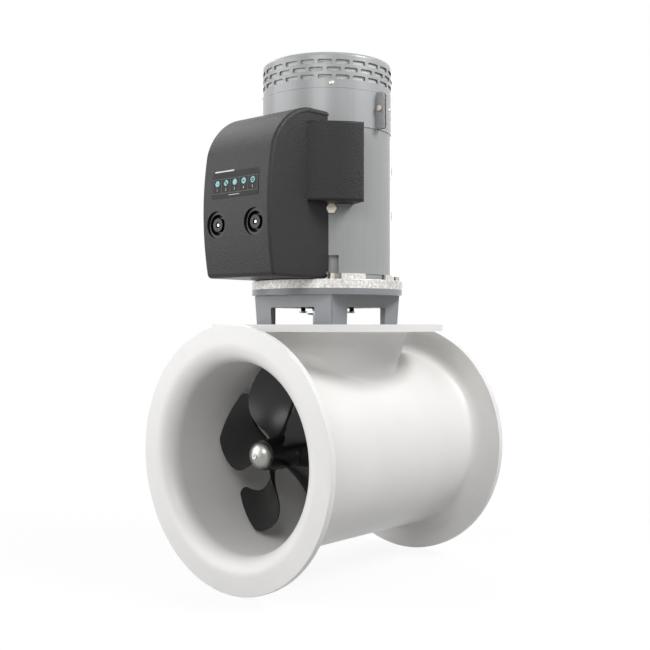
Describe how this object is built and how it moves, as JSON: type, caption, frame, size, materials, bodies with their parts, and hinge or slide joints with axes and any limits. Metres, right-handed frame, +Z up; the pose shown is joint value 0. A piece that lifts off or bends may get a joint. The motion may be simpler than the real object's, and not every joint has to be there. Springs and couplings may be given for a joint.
{
  "type": "tunnel thruster",
  "caption": "Ship's electric tunnel thruster: a white moulded tunnel, a gear leg with contra-rotating propellers, and an upright motor with a black control cover.",
  "frame": {"origin": "where the motor's vertical axis crosses the axis of the tunnel", "axes": "+X along the tunnel from the front mouth at -X to the rear mouth, +Z up along the motor, +Y completes the right hand"},
  "size_m": [0.4528, 0.4154, 0.8528],
  "materials": {
    "white_moulding": "gloss",
    "leg_casting": "satin",
    "bronze": "satin",
    "bracket_paint": "satin",
    "bare_aluminium": "satin",
    "yoke_paint": "satin",
    "plated_steel": "satin",
    "shaft_steel": "satin",
    "core_steel": "matte",
    "copper": "satin",
    "carbon": "matte",
    "brass": "satin",
    "black_rubber": "matte",
    "black_cover": "matte",
    "component_plastic": "matte",
    "board_green": "satin",
    "propeller_black": "satin",
    "zinc": "satin"
  },
  "bodies": {
    "housing": {"back_plate": "bare_aluminium", "band_bolts": "plated_steel", "bracket_bolts": "plated_steel", "brush_band": "yoke_paint", "brush_gear": "brass", "brush_springs": "shaft_steel", "brushes": "carbon", "bus_bars": "copper", "cable_glands": "black_cover", "cap_screws": "bronze", "clamp_plate_screws": "plated_steel", "contactors": "component_plastic", "control_board": "board_green", "control_cover": "black_cover", "drive_end_plate": "bare_aluminium", "end_plate_bolts": "plated_steel", "field_coils": "copper", "gear_leg": "leg_casting", "leg_bearings": "shaft_steel", "leg_caps": "leg_casting", "leg_clamp_plate": "bare_aluminium", "leg_gasket": "black_rubber", "leg_shaft_seal": "black_rubber", "main_fuse": "component_plastic", "motor_bearings": "shaft_steel", "motor_bracket": "bracket_paint", "motor_yoke": "yoke_paint", "pole_screws": "plated_steel", "pole_shoes": "core_steel", "prop_bearings": "shaft_steel", "prop_seals": "black_rubber", "terminal_studs": "plated_steel", "tunnel": "white_moulding", "upper_end_shield": "bare_aluminium", "vent_cover": "yoke_paint", "vent_cover_screws": "plated_steel", "vent_screen": "shaft_steel"},
    "drive_line": {"armature_shaft": "shaft_steel", "armature_core": "core_steel", "armature_winding": "copper", "commutator": "copper", "cooling_fan": "bare_aluminium", "coupling_upper": "shaft_steel", "coupling_lower": "shaft_steel", "coupling_pins": "plated_steel", "coupling_bushes": "black_rubber", "pinion_shaft": "shaft_steel"},
    "front_propulsor": {"front_bevel_wheel": "shaft_steel", "front_prop_shaft": "shaft_steel", "front_propeller": "propeller_black", "front_drive_pin": "shaft_steel", "front_anode": "zinc", "front_anode_screw": "shaft_steel"},
    "rear_propulsor": {"rear_bevel_wheel": "shaft_steel", "rear_prop_shaft": "shaft_steel", "rear_propeller": "propeller_black", "rear_drive_pin": "shaft_steel", "rear_anode": "zinc", "rear_anode_screw": "shaft_steel"}
  },
  "joints": [
    {"name": "drive_spin", "type": "hinge", "parent": "housing", "child": "drive_line", "pos_m": [0, 0, 0], "axis": [0, 0, 1], "continuous": true},
    {"name": "front_prop_spin", "type": "hinge", "parent": "housing", "child": "front_propulsor", "pos_m": [0, 0, 0], "axis": [1, 0, 0], "continuous": true},
    {"name": "rear_prop_spin", "type": "hinge", "parent": "housing", "child": "rear_propulsor", "pos_m": [0, 0, 0], "axis": [1, 0, 0], "continuous": true}
  ],
  "couplings": [
    {"joint": "front_prop_spin", "follows": "drive_spin", "ratio": 0.48148},
    {"joint": "rear_prop_spin", "follows": "drive_spin", "ratio": -0.48148}
  ]
}
